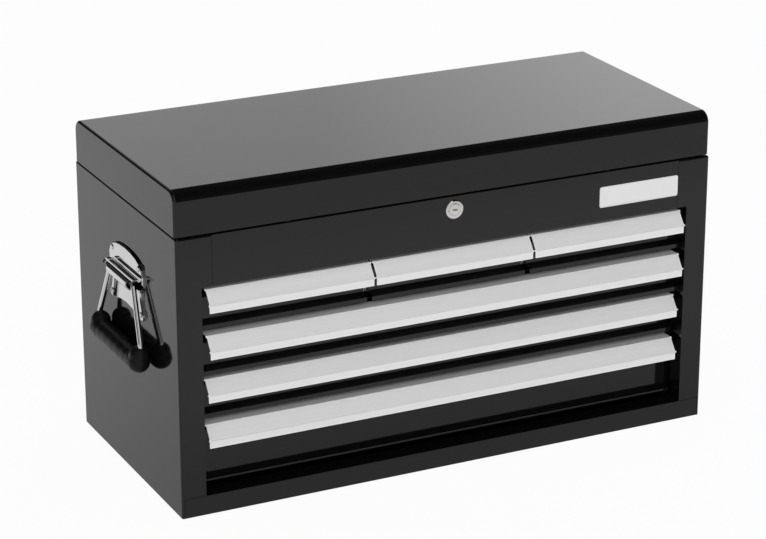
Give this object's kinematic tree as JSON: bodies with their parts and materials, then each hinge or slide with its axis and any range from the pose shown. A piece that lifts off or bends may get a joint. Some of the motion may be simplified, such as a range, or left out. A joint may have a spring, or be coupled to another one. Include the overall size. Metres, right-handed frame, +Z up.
{
  "type": "machinist tool chest",
  "caption": "Gloss black steel top chest with drawers on ball slides, silver full-width pulls, a hinged lid over an open till, a cam lock and folding side handles.",
  "frame": {"origin": "centre of the underside of the case, on the surface that it stands on", "axes": "+Z up, +X to the right as seen from the front, and the drawers open towards -Y"},
  "size_m": [0.711, 0.3123, 0.374],
  "materials": {
    "case_paint": "gloss black powder coat",
    "lid_paint": "gloss black powder coat",
    "drawer_paint": "gloss black powder coat",
    "pull_metal": "brushed, clear anodised",
    "zinc_steel": "bright zinc plate",
    "black_hinge": "gloss black",
    "chrome": "polished",
    "grip_rubber": "satin",
    "lock_nickel": "polished nickel",
    "badge_metal": "satin",
    "pad_rubber": "matte"
  },
  "bodies": {
    "case": {"left_side_panel": "case_paint", "right_side_panel": "case_paint", "back_panel": "case_paint", "base_pan": "case_paint", "bottom_rail": "case_paint", "top_rail": "case_paint", "till_floor": "case_paint", "drawer_dividers": "case_paint", "bay_shelf": "case_paint", "slide_posts": "case_paint", "slide_rails": "zinc_steel", "hinge_leaf_case": "black_hinge", "hinge_pin": "zinc_steel", "case_rivets": "zinc_steel", "lid_stay_pivots": "zinc_steel", "lid_pads": "pad_rubber", "lock_barrel": "lock_nickel", "lock_nut": "zinc_steel", "badge_plate": "badge_metal", "handle_plate_left": "chrome", "handle_plate_right": "chrome", "handle_rivets": "chrome"},
    "lid": {"lid_shell": "lid_paint", "hinge_leaf_lid": "black_hinge", "lid_rivets": "zinc_steel", "lid_stay_studs": "zinc_steel", "lid_catch": "zinc_steel"},
    "lid_stay_left": {"lid_stay_left": "zinc_steel"},
    "lid_stay_right": {"lid_stay_right": "zinc_steel"},
    "lock_plug": {"lock_plug": "lock_nickel", "lock_cam": "zinc_steel", "lock_cam_screw": "zinc_steel"},
    "handle_left": {"handle_bail_left": "chrome", "handle_grip_left": "grip_rubber"},
    "handle_right": {"handle_bail_right": "chrome", "handle_grip_right": "grip_rubber"},
    "drawer_small_left": {"drawer_box_small_left": "drawer_paint", "drawer_pull_small_left": "pull_metal", "slide_members_small_left": "zinc_steel"},
    "cage_small_left": {"ball_cage_small_left": "zinc_steel"},
    "drawer_small_middle": {"drawer_box_small_middle": "drawer_paint", "drawer_pull_small_middle": "pull_metal", "slide_members_small_middle": "zinc_steel"},
    "cage_small_middle": {"ball_cage_small_middle": "zinc_steel"},
    "drawer_small_right": {"drawer_box_small_right": "drawer_paint", "drawer_pull_small_right": "pull_metal", "slide_members_small_right": "zinc_steel"},
    "cage_small_right": {"ball_cage_small_right": "zinc_steel"},
    "drawer_upper": {"drawer_box_upper": "drawer_paint", "drawer_pull_upper": "pull_metal", "slide_members_upper": "zinc_steel"},
    "cage_upper": {"ball_cage_upper": "zinc_steel"},
    "drawer_middle": {"drawer_box_middle": "drawer_paint", "drawer_pull_middle": "pull_metal", "slide_members_middle": "zinc_steel"},
    "cage_middle": {"ball_cage_middle": "zinc_steel"},
    "drawer_deep": {"drawer_box_deep": "drawer_paint", "drawer_pull_deep": "pull_metal", "slide_members_deep": "zinc_steel"},
    "cage_deep": {"ball_cage_deep": "zinc_steel"}
  },
  "joints": [
    {"name": "lid_hinge", "type": "hinge", "parent": "case", "child": "lid", "pos_m": [0, 0.1527, 0.3231], "axis": [-1, 0, 0], "range_deg": [0, 95]},
    {"name": "lid_stay_left_pivot", "type": "hinge", "parent": "case", "child": "lid_stay_left", "pos_m": [-0.314, 0.1327, 0.2931], "axis": [-1, 0, 0], "range_deg": [0, 95]},
    {"name": "lid_stay_right_pivot", "type": "hinge", "parent": "case", "child": "lid_stay_right", "pos_m": [0.314, 0.1327, 0.2931], "axis": [-1, 0, 0], "range_deg": [0, 95]},
    {"name": "lock_turn", "type": "hinge", "parent": "case", "child": "lock_plug", "pos_m": [0, -0.15, 0.3075], "axis": [0, 1, 0], "range_deg": [0, 90]},
    {"name": "handle_left_swing", "type": "hinge", "parent": "case", "child": "handle_left", "pos_m": [-0.3375, -0.0065, 0.237], "axis": [0, 1, 0], "range_deg": [0, 88]},
    {"name": "handle_right_swing", "type": "hinge", "parent": "case", "child": "handle_right", "pos_m": [0.3375, -0.0065, 0.237], "axis": [0, -1, 0], "range_deg": [0, 88]},
    {"name": "drawer_small_left_slide", "type": "slide", "parent": "case", "child": "drawer_small_left", "axis": [0, -1, 0], "range_m": [0, 0.18]},
    {"name": "cage_small_left_slide", "type": "slide", "parent": "case", "child": "cage_small_left", "axis": [0, -1, 0], "range_m": [0, 0.09]},
    {"name": "drawer_small_middle_slide", "type": "slide", "parent": "case", "child": "drawer_small_middle", "axis": [0, -1, 0], "range_m": [0, 0.18]},
    {"name": "cage_small_middle_slide", "type": "slide", "parent": "case", "child": "cage_small_middle", "axis": [0, -1, 0], "range_m": [0, 0.09]},
    {"name": "drawer_small_right_slide", "type": "slide", "parent": "case", "child": "drawer_small_right", "axis": [0, -1, 0], "range_m": [0, 0.18]},
    {"name": "cage_small_right_slide", "type": "slide", "parent": "case", "child": "cage_small_right", "axis": [0, -1, 0], "range_m": [0, 0.09]},
    {"name": "drawer_upper_slide", "type": "slide", "parent": "case", "child": "drawer_upper", "axis": [0, -1, 0], "range_m": [0, 0.18]},
    {"name": "cage_upper_slide", "type": "slide", "parent": "case", "child": "cage_upper", "axis": [0, -1, 0], "range_m": [0, 0.09]},
    {"name": "drawer_middle_slide", "type": "slide", "parent": "case", "child": "drawer_middle", "axis": [0, -1, 0], "range_m": [0, 0.18]},
    {"name": "cage_middle_slide", "type": "slide", "parent": "case", "child": "cage_middle", "axis": [0, -1, 0], "range_m": [0, 0.09]},
    {"name": "drawer_deep_slide", "type": "slide", "parent": "case", "child": "drawer_deep", "axis": [0, -1, 0], "range_m": [0, 0.18]},
    {"name": "cage_deep_slide", "type": "slide", "parent": "case", "child": "cage_deep", "axis": [0, -1, 0], "range_m": [0, 0.09]}
  ],
  "couplings": [
    {"joint": "lid_stay_left_pivot", "follows": "lid_hinge", "ratio": 1},
    {"joint": "lid_stay_right_pivot", "follows": "lid_hinge", "ratio": 1},
    {"joint": "cage_small_left_slide", "follows": "drawer_small_left_slide", "ratio": 0.5},
    {"joint": "cage_small_middle_slide", "follows": "drawer_small_middle_slide", "ratio": 0.5},
    {"joint": "cage_small_right_slide", "follows": "drawer_small_right_slide", "ratio": 0.5},
    {"joint": "cage_upper_slide", "follows": "drawer_upper_slide", "ratio": 0.5},
    {"joint": "cage_middle_slide", "follows": "drawer_middle_slide", "ratio": 0.5},
    {"joint": "cage_deep_slide", "follows": "drawer_deep_slide", "ratio": 0.5}
  ]
}
